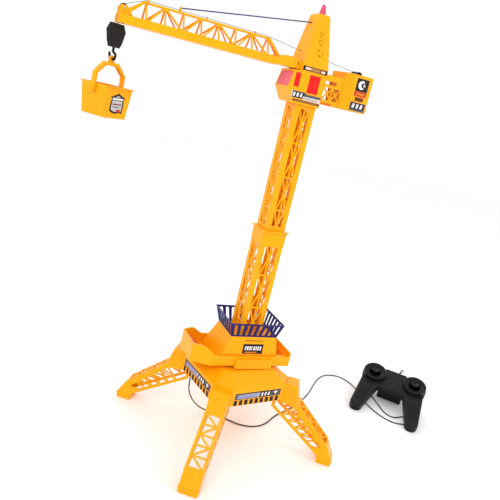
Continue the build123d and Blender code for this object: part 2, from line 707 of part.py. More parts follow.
def jib_struts(height, x_low, x_high):
    """Verticals under every top node and diagonals between them, within a stretch of the jib."""
    for x in NODES:
        if x_low <= x <= x_high:
            bar((x, 0), (x, height), 2.6)
    for bay in range(7):
        start, end = NODES[bay], NODES[bay + 1]
        if x_low - 1 <= start and end <= x_high + 1:
            if bay in RISING_BAYS:
                bar((start + 3, 0), (end, height), 2.6)
            else:
                bar((start, height), (end - 3, 0), 2.6)


def jib_band(x_low, x_high):
    """Open channel that forms the solid lower third of the jib."""
    with Locations(((x_low + x_high) / 2, 0)):
        Rectangle(x_high - x_low, 2 * JIB_HALF)


def build_jib(name, x_low, x_high, chord_low, chord_high, root):
    """One moulding of the jib: channel, leaning lattice faces and top chord."""
    with BuildPart() as jib:
        with BuildSketch(Plane.XY.offset(JIB_Z)):
            jib_band(x_low, x_high)
        extrude(amount=JIB_BAND_Z - JIB_Z)
        with BuildSketch(Plane.YZ.offset(x_low)):
            with Locations((0, (JIB_Z + JIB_BAND_Z) / 2 + 1.1)):
                Rectangle(2 * JIB_HALF - 5.2, JIB_BAND_Z - JIB_Z - 2.2)
        extrude(amount=x_high - x_low, mode=Mode.SUBTRACT)
        with BuildSketch(Plane.XZ):
            with Locations(((chord_low + chord_high) / 2, JIB_CHORD_Z - 1.8)):
                Rectangle(chord_high - chord_low, 3.6)
        extrude(amount=CHORD_HALF, both=True)
        for side in (-1, 1):
            plane, height = jib_face(side)
            with BuildSketch(plane):
                jib_struts(height, chord_low - 1, chord_high + 1)
            extrude(amount=1.1, both=True)
        if root:
            with BuildSketch(Plane.XZ):
                Polygon((-72, JIB_Z + 2), (-72, 749), (-58, 752.5), (-46, 752.5), (JIB_ROOT_X, 749.0),
                        (JIB_ROOT_X, JIB_Z + 2), align=None)
            extrude(amount=JIB_HALF, both=True)
            with BuildSketch(Plane.XZ):
                Polygon((-70, JIB_Z + 2.2), (-70, 746.6), (-57.5, 750.2), (-46, 750.2),
                        (-30, 747.2), (-30, JIB_Z + 2.2), align=None)
            extrude(amount=JIB_HALF - 2.6, both=True, mode=Mode.SUBTRACT)
            with BuildSketch(Plane.XZ):
                with Locations((-33.0, 744)):
                    Rectangle(2.0, 5.0)
            extrude(amount=40, both=True, mode=Mode.SUBTRACT)
            with BuildSketch(Plane.XZ):
                Polygon((NODES[7] - 2, JIB_CHORD_Z), (NODES[7] + 3, JIB_CHORD_Z), (-66, 750.5),
                        (-72, 748.6), align=None)
            extrude(amount=4.4, both=True)
        else:
            with BuildSketch(Plane.XZ):
                Polygon((NODES[0] + 1, JIB_CHORD_Z), (NODES[0] - 4, JIB_CHORD_Z), (-333.5, 754),
                        (-333.5, 746), (-327, 746), (-327, 751), align=None)
            extrude(amount=7.2, both=True)
            with BuildSketch(Plane.XZ):
                Polygon((JIB_TIP_X, JIB_Z), (JIB_TIP_X, 756), (-341.5, 759.6), (-332.5, 759.6),
                        (-329, 756), (-322, 746), (-322, JIB_Z), align=None)
            extrude(amount=7.2, both=True)
            with BuildSketch(Plane.XY.offset(JIB_Z - 1)):
                with Locations((-338, 0)):
                    Rectangle(16, 8.4)
            extrude(amount=40, mode=Mode.SUBTRACT)
            with BuildSketch(Plane.XZ):
                with Locations((-318, 761)):
                    Rectangle(26, 30)
            extrude(amount=2.4, both=True, mode=Mode.SUBTRACT)
            with BuildSketch(Plane.XZ):
                with Locations((PULLEY_X, PULLEY_Z)):
                    Circle(1.5)
            extrude(amount=20, both=True, mode=Mode.SUBTRACT)
        split(bisect_by=Plane.YZ.offset(JIB_SPLIT_X), keep=Keep.TOP if root else Keep.BOTTOM)
    finish(jib, name)


build_jib("jib_outer", JIB_TIP_X, JIB_SPLIT_X, NODES[0] - 4, JIB_SPLIT_X, False)
build_jib("jib_inner", JIB_SPLIT_X, -70, JIB_SPLIT_X, NODES[7] + 3, True)

GUIDE_XS = (NODES[0] + 2.0, NODES[3] + 9, NODES[6] + 6)
STRING_TOP_Z = JIB_CHORD_Z + 2.0
with BuildPart() as guides:
    for x in GUIDE_XS:
        with BuildSketch(Plane.YZ.offset(x - 1.0)):
            with Locations((0, STRING_TOP_Z)):
                Circle(2.0)
            with Locations((0, STRING_TOP_Z)):
                Circle(0.9, mode=Mode.SUBTRACT)
        extrude(amount=2.0)
finish(guides, "string_guides")

with BuildPart() as stay_bracket:
    with BuildSketch(Plane.YZ.offset(STAY_JIB[0] - 2.6)):
        with Locations((0, JIB_CHORD_Z + 3.5)):
            RectangleRounded(7.0, 7.0, 2.4)
            RectangleRounded(5.0, 5.0, 1.6, mode=Mode.SUBTRACT)
    extrude(amount=2.2)
finish(stay_bracket, "stay_bracket")

PULLEY_R = 5.0
with BuildPart() as tip_pulley:
    with BuildSketch(Plane.XY):
        Polygon((1.55, -2.0), (6.4, -2.0), (6.4, -1.4), (PULLEY_R - 0.2, -0.5), (PULLEY_R - 0.2, 0.5),
                (6.4, 1.4), (6.4, 2.0), (1.55, 2.0), align=None)
    revolve(axis=Axis.Y)
tip_pulley.part = Pos(PULLEY_X, 0, PULLEY_Z) * tip_pulley.part
finish(tip_pulley, "tip_pulley")

with BuildPart() as tip_pin:
    with BuildSketch(Plane.XZ.offset(8.4)):
        with Locations((PULLEY_X, PULLEY_Z)):
            Circle(1.5)
    extrude(amount=-16.8)
finish(tip_pin, "tip_pulley_pin")


# ---------------------------------------------------------------- lines held by the crane
with BuildPart() as stay_rope:
    with BuildLine() as stay_route:
        Line((STAY_JIB[0], 0, STAY_JIB[1]), (STAY_HEAD[0], 0, STAY_HEAD[1]))
    with BuildSketch(Plane(origin=stay_route.line @ 0, z_dir=stay_route.line % 0)):
        Circle(1.0)
    sweep(path=stay_route.line)
finish(stay_rope, "stay_rope")
print("stay rope", round(stay_route.wire().length, 1))

HOIST_ROUTE = [
    (DRUM_X - 1.0, -1.0, DRUM_Z + DRUM_CORE_R + 0.5), (STRING_OUT[0], 0, STRING_OUT[1]),
    (NODES[7], 0, STRING_TOP_Z - 0.3), (NODES[0], 0, STRING_TOP_Z), (FALL_X, 0, 759.35),
    (FALL_X, 0, PULLEY_Z),
]
HOIST_RADII = [25.0, 25.0, 20.0, 5.2]
with BuildPart() as hoist_line:
    with BuildLine() as hoist_route:
        FilletPolyline(*HOIST_ROUTE, radius=HOIST_RADII)
    with BuildSketch(Plane(origin=hoist_route.line @ 0, z_dir=hoist_route.line % 0)):
        Circle(STRING_R)
    sweep(path=hoist_route.line)
finish(hoist_line, "hoist_line")
print("hoist line on the crane", round(hoist_route.wire().length, 1))

BLOCK_TOP_Z = 731.2
with BuildPart() as hoist_fall:
    with BuildSketch(Plane.XY.offset(BLOCK_TOP_Z)):
        with Locations((FALL_X, 0)):
            Circle(STRING_R)
    extrude(amount=PULLEY_Z - BLOCK_TOP_Z)
finish(hoist_fall, "hoist_fall")


# ---------------------------------------------------------------- hook block, hook, bail, bucket
def load_plane(turn, z=0.0):
    """Upright plane through the fall line, its local x at the load's yaw plus a turn."""
    angle = radians(LOAD_YAW + turn)
    across = Vector(cos(angle), sin(angle), 0)
    return Plane(origin=(FALL_X, 0, z), x_dir=across, z_dir=Vector(sin(angle), -cos(angle), 0))


BLOCK_OUTLINE = ((-11.5, 35.2), (-17.2, 24.5), (-13.0, 8.0), (-9.0, 0), (9.0, 0), (13.0, 8.0),
                 (17.2, 24.5), (11.5, 35.2))
for block_name, block_dir in (("hook_block_front", 1), ("hook_block_back", -1)):
    with BuildPart() as block:
        with BuildSketch(load_plane(0, HOOK_BLOCK_Z)):
            Polygon(*BLOCK_OUTLINE, align=None)
        extrude(amount=5.3 * block_dir)
        outer = block.faces().sort_by(Axis(block.part.center(), load_plane(0).z_dir))
        chamfer((outer[-1] if block_dir > 0 else outer[0]).edges(), 1.6)
        with BuildSketch(load_plane(0, HOOK_BLOCK_Z)):
            Polygon((-8, 30), (-13, 23), (-9.5, 6), (9.5, 6), (13, 23), (8, 30), align=None)
        extrude(amount=3.2 * block_dir, mode=Mode.SUBTRACT)
        with BuildSketch(Plane.XY.offset(HOOK_BLOCK_Z - 1)):
            with Locations((FALL_X, 0)):
                Circle(2.05)
        extrude(amount=8, mode=Mode.SUBTRACT)
    finish(block, block_name)

HOOK_R = 1.9
HOOK_TURN = -90.0
with BuildPart() as hook:
    with BuildSketch(Plane.XY.offset(HOOK_BLOCK_Z + 6.3)):
        with Locations((FALL_X, 0)):
            Circle(3.0)
    extrude(amount=2.0)
    with BuildSketch(Plane.XY.offset(690.0)):
        with Locations((FALL_X, 0)):
            Circle(2.0)
    extrude(amount=HOOK_BLOCK_Z + 6.3 - 690.0)
    HOOK_FRAME = load_plane(HOOK_TURN)
    with BuildLine() as hook_route:
        FilletPolyline(*[HOOK_FRAME.from_local_coords(Vector(u, z, 0)) for u, z in (
            (0, 692.5), (0, 689.6), (6.8, 686.0), (5.2, EYE_Z - 0.3), (-4.8, EYE_Z - 0.3),
            (-7.4, 688.2))], radius=[2.2, 3.6, 3.2, 3.4])
    with BuildSketch(Plane(origin=hook_route.line @ 0, z_dir=hook_route.line % 0)):
        Circle(HOOK_R)
    sweep(path=hook_route.line)
finish(hook, "hook")

BAIL_REACH = 31.4
BAIL_W = 8.0
with BuildPart() as bail:
    with BuildSketch(load_plane(0)):
        Polygon((-BAIL_REACH, 627.5), (-BAIL_REACH, 656), (-13.5, BAIL_TOP_Z), (13.5, BAIL_TOP_Z),
                (BAIL_REACH, 656), (BAIL_REACH, 627.5), (28.3, 627.5), (27.6, 654.4),
                (12.0, BAIL_TOP_Z - 5.4), (-12.0, BAIL_TOP_Z - 5.4), (-27.6, 654.4), (-28.3, 627.5),
                align=None)
    extrude(amount=BAIL_W / 2, both=True)
    with BuildSketch(load_plane(90)):
        with Locations((0, BUCKET_PIVOT_Z)):
            Circle(5.2)
    extrude(amount=BAIL_REACH, both=True)
    with BuildSketch(load_plane(90)):
        with Locations((0, BUCKET_PIVOT_Z)):
            Circle(8)
    extrude(amount=28.3, both=True, mode=Mode.SUBTRACT)
    with BuildSketch(load_plane(0)):
        with Locations((0, EYE_Z - 0.4)):
            Circle(5.6)
        with Locations((0, BAIL_TOP_Z - 1)):
            Rectangle(11.2, 5)
        with Locations((0, EYE_Z - 0.4)):
            Circle(2.4, mode=Mode.SUBTRACT)
    extrude(amount=1.4, both=True)
    with BuildSketch(load_plane(90)):
        with Locations((0, BUCKET_PIVOT_Z)):
            Circle(2.35)
    extrude(amount=40, both=True, mode=Mode.SUBTRACT)
finish(bail, "bail")


def bucket_level(z, half):
    """Square at one height of the bucket, turned with the load."""
    with BuildSketch(Plane(origin=(FALL_X, 0, z), x_dir=load_plane(0).x_dir, z_dir=(0, 0, 1))) as ring:
        Rectangle(2 * half, 2 * half)
    return ring.sketch


BUCKET_FOOT_HALF = 23.6
BUCKET_MOUTH_HALF = 27.6
with BuildPart() as bucket:
    loft([bucket_level(BUCKET_Z, BUCKET_FOOT_HALF), bucket_level(BUCKET_RIM_Z, BUCKET_MOUTH_HALF)])
    loft([bucket_level(BUCKET_Z + 2, BUCKET_FOOT_HALF - 1.7),
          bucket_level(BUCKET_RIM_Z + 1, BUCKET_MOUTH_HALF - 1.7)], mode=Mode.SUBTRACT)
    for side in (-1, 1):
        with BuildSketch(load_plane(0)):
            with Locations((0, BUCKET_RIM_Z - 0.7)):
                Rectangle(2 * BUCKET_MOUTH_HALF, 1.4)
        extrude(amount=-side * (BUCKET_MOUTH_HALF + 3.8))
    with BuildSketch(load_plane(0)):
        with Locations((0, BUCKET_RIM_Z)):
            Rectangle(2 * BUCKET_MOUTH_HALF - 4, 6)
    extrude(amount=BUCKET_MOUTH_HALF - 2, both=True, mode=Mode.SUBTRACT)
    with BuildSketch(load_plane(90)):
        with Locations((0, BUCKET_PIVOT_Z)):
            Circle(2.3)
    extrude(amount=BAIL_REACH + 0.8, both=True)
    with BuildSketch(load_plane(90)):
        with Locations((0, BUCKET_PIVOT_Z)):
            Circle(3)
    extrude(amount=24.8, both=True, mode=Mode.SUBTRACT)
finish(bucket, "bucket")


# ---------------------------------------------------------------- handset
TILT = 20.0
HANDSET_AT = (505.3, 79.3, 52.3)
ACROSS = Vector(cos(radians(-45)), sin(radians(-45)), 0)
UP_FACE = Vector(cos(radians(TILT)) * cos(radians(45)), cos(radians(TILT)) * sin(radians(45)),
                 sin(radians(TILT)))
HANDSET = Plane(origin=HANDSET_AT, x_dir=ACROSS, z_dir=ACROSS.cross(UP_FACE))
PAD_X = 51.8
PAD_R = 31.0
TOP_FACE = 10.0
UNDERSIDE = -11.0
GRIP_TIP = (69.0, -116.0)
GRIP_R = 15.5


def handset_outline(inset):
    """Plan of the handset: two round shoulders, a middle body and two grips."""
    Rectangle(2 * PAD_X, 52 - 2 * inset)
    with Locations((0, -14)):
        Rectangle(2 * PAD_X - 30, 52 - 2 * inset)
    with Locations((0, 24)):
        RectangleRounded(58 - 2 * inset, 16 - inset, 5)
    for side in (-1, 1):
        with Locations((side * PAD_X, 0)):
            Circle(PAD_R - inset)
        with Locations((side * GRIP_TIP[0], GRIP_TIP[1])):
            Circle(GRIP_R - inset)
        root_in, root_out = 26.0 + inset, 79.0 - inset
        tip_in, tip_out = GRIP_TIP[0] - GRIP_R + inset, GRIP_TIP[0] + GRIP_R - inset
        corners = [(root_in, -16), (root_out, -10), (tip_out, GRIP_TIP[1]), (tip_in, GRIP_TIP[1])]
        Polygon(*[(side * x, y) for x, y in corners], align=None)


with BuildPart() as handset_top:
    with BuildSketch(HANDSET):
        handset_outline(0)
    extrude(amount=TOP_FACE)
    top_face = handset_top.faces().sort_by(Axis(HANDSET.origin, HANDSET.z_dir))[-1]
    fillet(top_face.outer_wire().edges(), 4.0)
    with BuildSketch(HANDSET):
        handset_outline(WALL)
    extrude(amount=TOP_FACE - 5.2, mode=Mode.SUBTRACT)
    with BuildSketch(HANDSET.offset(TOP_FACE - 8)):
        for side in (-1, 1):
            with Locations((side * PAD_X, 0)):
                Circle(15)
    extrude(amount=20, mode=Mode.SUBTRACT)
finish(handset_top, "handset_top")

BOX_X = 31.0
BOX_FOOT = -66.0
COVER_TOP_Z = 2.2
with BuildPart() as handset_bottom:
    with BuildSketch(HANDSET):
        handset_outline(0)
    extrude(amount=UNDERSIDE)
    under_face = handset_bottom.faces().sort_by(Axis(HANDSET.origin, HANDSET.z_dir))[0]
    chamfer(under_face.outer_wire().edges(), 3.0)
    with BuildSketch(HANDSET.offset(UNDERSIDE)):
        with Locations((0, 1)):
            Rectangle(2 * BOX_X, 42)
    extrude(amount=BOX_FOOT - UNDERSIDE + 3.0)
    with BuildSketch(HANDSET):
        handset_outline(WALL)
    extrude(amount=UNDERSIDE + WALL, mode=Mode.SUBTRACT)
    with BuildSketch(HANDSET):
        with Locations((0, 1)):
            Rectangle(2 * BOX_X - 4.4, 42 - 4.4)
    extrude(amount=BOX_FOOT, mode=Mode.SUBTRACT)
    split(bisect_by=Plane.XY, keep=Keep.TOP)
    with BuildSketch(Plane(origin=(519.5, 93.5, 0), x_dir=ACROSS, z_dir=(0, 0, 1))):
        Rectangle(2 * BOX_X + 2, 56)
    extrude(amount=COVER_TOP_Z + 0.1, mode=Mode.SUBTRACT)
finish(handset_bottom, "handset_bottom")

with BuildPart() as battery_cover:
    with BuildSketch(HANDSET):
        with Locations((0, 1)):
            Rectangle(2 * BOX_X, 42)
    extrude(amount=BOX_FOOT - 6)
    split(bisect_by=Plane.XY.offset(COVER_TOP_Z), keep=Keep.BOTTOM)
    split(bisect_by=Plane.XY, keep=Keep.TOP)
finish(battery_cover, "battery_cover")

with BuildPart() as batteries:
    for layer in (-1, 1):
        for row in (-1, 1):
            cell = Plane(origin=HANDSET.from_local_coords(Vector(-25.2, 1 + row * 8.4, -19.8 + layer * 7.2)),
                         x_dir=HANDSET.y_dir, z_dir=HANDSET.x_dir)
            with BuildSketch(cell):
                Circle(7.1)
            extrude(amount=49.2)
            with BuildSketch(cell.offset(49.2)):
                Circle(2.7)
            extrude(amount=1.2)
finish(batteries, "batteries")

with BuildPart() as board:
    with BuildSketch(HANDSET.offset(-4)):
        with Locations((0, -2)):
            Rectangle(70, 34)
    extrude(amount=1.6)
finish(board, "circuit_board")

THUMB_CONTROLS = (("left_pad", "left_stick", -1, HANDSET.x_dir),
                  ("right_pad", "right_stick", 1, HANDSET.y_dir))
for pad_name, stick_name, side, pivot_dir in THUMB_CONTROLS:
    centre = HANDSET.from_local_coords(Vector(side * PAD_X, 0, 0))
    with BuildPart() as pad:
        with BuildSketch(Plane(origin=centre, x_dir=HANDSET.x_dir, z_dir=HANDSET.y_dir * -1)):
            Polygon((14.8, TOP_FACE - 1.6), (14.8, TOP_FACE), (29.2, TOP_FACE), (29.2, TOP_FACE + 7.4),
                    (27.4, TOP_FACE + 9.4), (25.2, TOP_FACE + 9.4), (22.6, TOP_FACE + 6.4),
                    (16.4, TOP_FACE + 4.4), (12.4, TOP_FACE - 1.6), align=None)
        revolve(axis=Axis(centre, HANDSET.z_dir))
    finish(pad, pad_name)
    with BuildPart() as stick:
        with BuildSketch(Plane(origin=centre, x_dir=HANDSET.x_dir, z_dir=HANDSET.y_dir * -1)):
            Polygon((0, 1.5), (4.4, 1.5), (4.4, TOP_FACE + 7), (8.8, TOP_FACE + 10.0),
                    (9.4, TOP_FACE + 12.4), (7.8, TOP_FACE + 13.4), (3.6, TOP_FACE + 12.0),
                    (0, TOP_FACE + 11.6), align=None)
        revolve(axis=Axis(centre, HANDSET.z_dir))
        with BuildSketch(Plane(origin=centre + HANDSET.z_dir * 3.0, z_dir=pivot_dir)):
            Circle(1.2)
        extrude(amount=7.0, both=True)
    finish(stick, stick_name)

# ---------------------------------------------------------------- lead from the base to the handset
GLAND_FOOT_Z = 98.0
with BuildPart() as base_gland:
    with BuildSketch(Plane.XY.offset(BASE_Z + COVER_T)):
        with Locations(GLAND_XY):
            Circle(4.2)
    extrude(amount=1.6)
    with BuildSketch(Plane.XY.offset(BASE_Z)):
        with Locations(GLAND_XY):
            Circle(2.6)
    extrude(amount=COVER_T)
    with BuildSketch(Plane.XY.offset(BASE_Z)):
        with Locations(GLAND_XY):
            Circle(3.6)
    with BuildSketch(Plane.XY.offset(GLAND_FOOT_Z)):
        with Locations(GLAND_XY):
            Circle(1.9)
    loft()
finish(base_gland, "base_gland")

HANDSET_GLAND_X = 8.0
GLAND_LENGTH = 12.0
SHOULDER_Y = 32.0
gland_root = HANDSET.from_local_coords(Vector(HANDSET_GLAND_X, SHOULDER_Y, 0))
gland_frame = Plane(origin=gland_root, x_dir=HANDSET.x_dir, z_dir=HANDSET.y_dir)
with BuildPart() as handset_gland:
    with BuildSketch(gland_frame):
        Circle(3.2)
    with BuildSketch(gland_frame.offset(GLAND_LENGTH)):
        Circle(1.8)
    loft()
finish(handset_gland, "handset_gland")

gland_tip = gland_root + HANDSET.y_dir * GLAND_LENGTH
FLOOR = LEAD_R + 0.15
LEAD_ROUTE = [
    (GLAND_XY[0], GLAND_XY[1], GLAND_FOOT_Z), (-82.0, 30.0, 84.0), (-78.0, 32.5, 67.0),
    (-68.0, 37.5, 48.0), (-54.0, 44.0, 30.0), (-37.0, 50.5, 14.0), (-17.0, 53.0, 3.6),
    (4.0, 42.0, FLOOR), (20.0, 20.0, FLOOR), (41.0, -1.0, FLOOR), (72.0, -11.0, FLOOR),
    (106.0, -1.0, FLOOR), (142.0, 29.0, FLOOR), (190.0, 50.0, FLOOR), (241.0, 84.0, FLOOR),
    (284.0, 119.0, FLOOR), (319.0, 158.0, FLOOR), (356.0, 193.0, FLOOR), (392.0, 208.0, FLOOR),
    (426.0, 196.0, FLOOR), (441.0, 155.0, FLOOR), (433.0, 108.0, FLOOR), (423.0, 62.0, FLOOR),
    (428.0, 16.0, FLOOR),
    (443.0, -16.0, FLOOR), (467.0, -27.5, FLOOR), (489.0, -26.5, FLOOR), (505.0, -19.5, FLOOR),
    (508.5, -5.0, FLOOR), (498.0, 5.0, FLOOR), (479.0, 1.0, FLOOR), (459.0, 3.0, FLOOR),
    (451.0, 24.0, FLOOR), (457.0, 52.0, FLOOR), (462.0, 80.0, FLOOR), (468.0, 106.0, FLOOR),
    (482.0, 130.0, FLOOR),
    (503.0, 150.0, FLOOR), (526.0, 160.0, 4.0), (548.0, 162.0, 12.0), (567.0, 154.0, 26.0),
    (577.0, 140.0, 42.0), (574.0, 126.0, 57.0), (561.0, 116.5, 68.0),
    (gland_tip + HANDSET.y_dir * 11.0), gland_tip,
]
route_points = [Vector(*point) for point in LEAD_ROUTE]
runs = [(after - before).length for before, after in zip(route_points, route_points[1:])]
LEAD_RADII = []
for before, here, after in zip(route_points, route_points[1:], route_points[2:]):
    turn = (here - before).get_angle(after - here)
    shorter = min((here - before).length, (after - here).length)
    LEAD_RADII.append(0.45 * shorter / tan(radians(turn) / 2))
with BuildPart() as lead:
    with BuildLine() as lead_route:
        FilletPolyline(*route_points, radius=LEAD_RADII)
    with BuildSketch(Plane(origin=lead_route.line @ 0, z_dir=lead_route.line % 0)):
        Circle(LEAD_R)
    sweep(path=lead_route.line)
finish(lead, "lead_cord")
LEAD_LENGTH = lead_route.wire().length
print("lead length", round(LEAD_LENGTH, 1), "volume over section x length",
      round(lead.part.volume / (pi * LEAD_R**2 * LEAD_LENGTH), 4))
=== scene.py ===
import bmesh
import bpy
import json
from math import cos, pi, radians, sin
from mathutils import Matrix, Vector


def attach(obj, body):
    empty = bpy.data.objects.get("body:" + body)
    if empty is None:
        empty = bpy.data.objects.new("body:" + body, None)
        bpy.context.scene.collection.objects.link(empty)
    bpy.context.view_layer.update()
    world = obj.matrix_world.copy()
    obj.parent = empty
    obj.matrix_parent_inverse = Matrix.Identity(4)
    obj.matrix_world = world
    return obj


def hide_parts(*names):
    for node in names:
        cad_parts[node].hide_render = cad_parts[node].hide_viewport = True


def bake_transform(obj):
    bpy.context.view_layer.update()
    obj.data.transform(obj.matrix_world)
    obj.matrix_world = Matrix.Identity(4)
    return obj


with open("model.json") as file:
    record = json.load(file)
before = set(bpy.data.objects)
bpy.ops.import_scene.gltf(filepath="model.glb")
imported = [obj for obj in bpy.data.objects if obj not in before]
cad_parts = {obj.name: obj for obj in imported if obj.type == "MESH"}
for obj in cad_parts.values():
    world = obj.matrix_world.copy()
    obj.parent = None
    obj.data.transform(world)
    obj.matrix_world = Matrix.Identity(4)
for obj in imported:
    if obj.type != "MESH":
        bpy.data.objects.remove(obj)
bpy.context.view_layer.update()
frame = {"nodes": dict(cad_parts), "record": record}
MM = 0.001

# Places on the CAD that pieces are set against, in millimetres and degrees.
BASE_YAW = 9.44
BASE_HALF = 89.4
PEDESTAL_SIDE = ((46.0, 174.2), (36.6, 228.5))      # (y, z) at its foot and its top
CAB_HALF = 26.4
HOUSE_HALF = 37.3
HOUSE_MID_X = 93.6
FALL_X = -342.2
FALL_TOP_Z = 755.8
BLOCK_TOP_Z = 731.3
LOAD_YAW = 35.2
BUCKET_SIDE = ((23.6, 591.0), (27.6, 639.4))        # (half width, z) at its foot and its rim
DRUM_X = 94.9
DRUM_Z = 750.5
LEAD_D = 2.6


# ---------------------------------------------------------------- materials
def node_material(name):
    """New material with its node tree and its Principled shader."""
    material = bpy.data.materials.new(name)
    material.use_nodes = True
    tree = material.node_tree
    return material, tree, tree.nodes["Principled BSDF"]


def mottled_colour(tree, shader, coords, colour, spread, scale):
    """Base colour that drifts a little lighter and darker over the surface."""
    noise = tree.nodes.new("ShaderNodeTexNoise")
    noise.inputs["Scale"].default_value = scale
    noise.inputs["Detail"].default_value = 4
    tree.links.new(coords, noise.inputs["Vector"])
    ramp = tree.nodes.new("ShaderNodeValToRGB")
    ramp.color_ramp.elements[0].position = 0.3
    ramp.color_ramp.elements[0].color = [c * (1 - spread) for c in colour] + [1]
    ramp.color_ramp.elements[1].position = 0.7
    ramp.color_ramp.elements[1].color = [min(1, c * (1 + spread)) for c in colour] + [1]
    tree.links.new(noise.outputs["Fac"], ramp.inputs["Fac"])
    tree.links.new(ramp.outputs["Color"], shader.inputs["Base Color"])


def uneven_gloss(tree, shader, coords, rough, spread, scale):
    """Roughness that varies as handled plastic does."""
    noise = tree.nodes.new("ShaderNodeTexNoise")
    noise.inputs["Scale"].default_value = scale
    noise.inputs["Detail"].default_value = 6
    tree.links.new(coords, noise.inputs["Vector"])
    span = tree.nodes.new("ShaderNodeMapRange")
    span.inputs["To Min"].default_value = rough - spread
    span.inputs["To Max"].default_value = rough + spread
    tree.links.new(noise.outputs["Fac"], span.inputs["Value"])
    tree.links.new(span.outputs["Result"], shader.inputs["Roughness"])


def fine_grain(tree, shader, coords, scale, strength, height, edge):
    """Moulded surface grain over slightly rounded edges."""
    noise = tree.nodes.new("ShaderNodeTexNoise")
    noise.inputs["Scale"].default_value = scale
    noise.inputs["Detail"].default_value = 3
    tree.links.new(coords, noise.inputs["Vector"])
    bump = tree.nodes.new("ShaderNodeBump")
    bump.inputs["Strength"].default_value = strength
    bump.inputs["Distance"].default_value = height
    tree.links.new(noise.outputs["Fac"], bump.inputs["Height"])
    if edge:
        rounding = tree.nodes.new("ShaderNodeBevel")
        rounding.samples = 4
        rounding.inputs["Radius"].default_value = edge
        tree.links.new(rounding.outputs["Normal"], bump.inputs["Normal"])
    tree.links.new(bump.outputs["Normal"], shader.inputs["Normal"])


def plastic(name, colour, rough, spread=0.05, grain=900, strength=0.12, edge=0.0006):
    """Moulded plastic of one colour."""
    material, tree, shader = node_material(name)
    coords = tree.nodes.new("ShaderNodeTexCoord").outputs["Object"]
    mottled_colour(tree, shader, coords, colour, spread, 22)
    uneven_gloss(tree, shader, coords, rough, 0.05, 60)
    fine_grain(tree, shader, coords, grain, strength, 0.0002, edge)
    shader.inputs["Specular IOR Level"].default_value = 0.2
    return material


def yellow_plastic():
    """Glossy yellow moulding: saturated, a little warmer where the plastic lies thick."""
    material, tree, shader = node_material("yellow_moulding")
    coords = tree.nodes.new("ShaderNodeTexCoord").outputs["Object"]
    mottled_colour(tree, shader, coords, (0.97, 0.385, 0.001), 0.05, 14)
    uneven_gloss(tree, shader, coords, 0.32, 0.06, 80)
    fine_grain(tree, shader, coords, 700, 0.08, 0.0002, 0.0007)
    shader.inputs["Subsurface Weight"].default_value = 0.12
    shader.inputs["Subsurface Radius"].default_value = (0.004, 0.002, 0.0005)
    shader.inputs["Specular IOR Level"].default_value = 0.16
    return material


def window_gloss(name, colour, rough):
    """Glossy coloured panel with soft depth."""
    material = plastic(name, colour, rough, 0.10, 300, 0.04, 0.0003)
    material.node_tree.nodes["Principled BSDF"].inputs["Coat Weight"].default_value = 0.1
    return material


def lens_plastic():
    """Clear pink-red moulded lens."""
    material = plastic("lens_red", (0.90, 0.10, 0.22), 0.16, 0.12, 250, 0.05, 0.0003)
    shader = material.node_tree.nodes["Principled BSDF"]
    shader.inputs["Transmission Weight"].default_value = 0.55
    shader.inputs["IOR"].default_value = 1.47
    return material


def metal(name, colour, rough):
    """Drawn steel with fine streaks."""
    material = plastic(name, colour, rough, 0.08, 500, 0.2, 0.0002)
    material.node_tree.nodes["Principled BSDF"].inputs["Metallic"].default_value = 1
    return material


def twisted(name, colour, pitch):
    """Laid string or braid: fine slanting strands."""
    material, tree, shader = node_material(name)
    coords = tree.nodes.new("ShaderNodeTexCoord").outputs["Object"]
    mottled_colour(tree, shader, coords, colour, 0.2, 900)
    uneven_gloss(tree, shader, coords, 0.75, 0.1, 200)
    wave = tree.nodes.new("ShaderNodeTexWave")
    wave.inputs["Scale"].default_value = pitch
    wave.bands_direction = "DIAGONAL"
    tree.links.new(coords, wave.inputs["Vector"])
    bump = tree.nodes.new("ShaderNodeBump")
    bump.inputs["Strength"].default_value = 0.6
    bump.inputs["Distance"].default_value = 0.0002
    tree.links.new(wave.outputs["Fac"], bump.inputs["Height"])
    tree.links.new(bump.outputs["Normal"], shader.inputs["Normal"])
    return material


def printed(name, colour, rough=0.35):
    """Sticker ink on thin film."""
    return plastic(name, colour, rough, 0.08, 1500, 0.03, 0.0)


YELLOW = yellow_plastic()
BLACK = plastic("black_moulding", (0.006, 0.006, 0.007), 0.42, 0.2, 1100, 0.25)
GRIP_BLACK = plastic("grip_black", (0.005, 0.005, 0.006), 0.5, 0.2, 1600, 0.4)
STICK_BLACK = plastic("stick_black", (0.006, 0.006, 0.007), 0.24, 0.2, 600, 0.1)
GREY = plastic("grey_moulding", (0.16, 0.16, 0.17), 0.5)
WHITE = plastic("gear_white", (0.75, 0.74, 0.70), 0.4)
NAVY = plastic("railing_navy", (0.010, 0.008, 0.13), 0.38, 0.1)
PINK = window_gloss("window_pink", (0.80, 0.10, 0.15), 0.3)
# Dark red window plastic for the strips along the pink panes' top and side: painted shade of the
# reveal and painted inner reflection.
WINDOW_REVEAL_SHADE = window_gloss("window_red_painted_reveal_shade", (0.70, 0.006, 0.004), 0.28)
LENS = lens_plastic()
LAMP = plastic("lamp_cream", (0.9, 0.55, 0.4), 0.3)
STEEL = metal("shaft_steel", (0.55, 0.55, 0.57), 0.3)
STAY_CORD = twisted("stay_navy", (0.02, 0.035, 0.16), 700)
STRING = twisted("hoist_string", (0.16, 0.16, 0.17), 1500)
LEAD = plastic("lead_sheath", (0.012, 0.012, 0.013), 0.45, 0.15, 1400, 0.2, 0)
WRAP = plastic("cell_wrap", (0.05, 0.05, 0.06), 0.3)
BOARD = plastic("board_green", (0.02, 0.12, 0.04), 0.4)

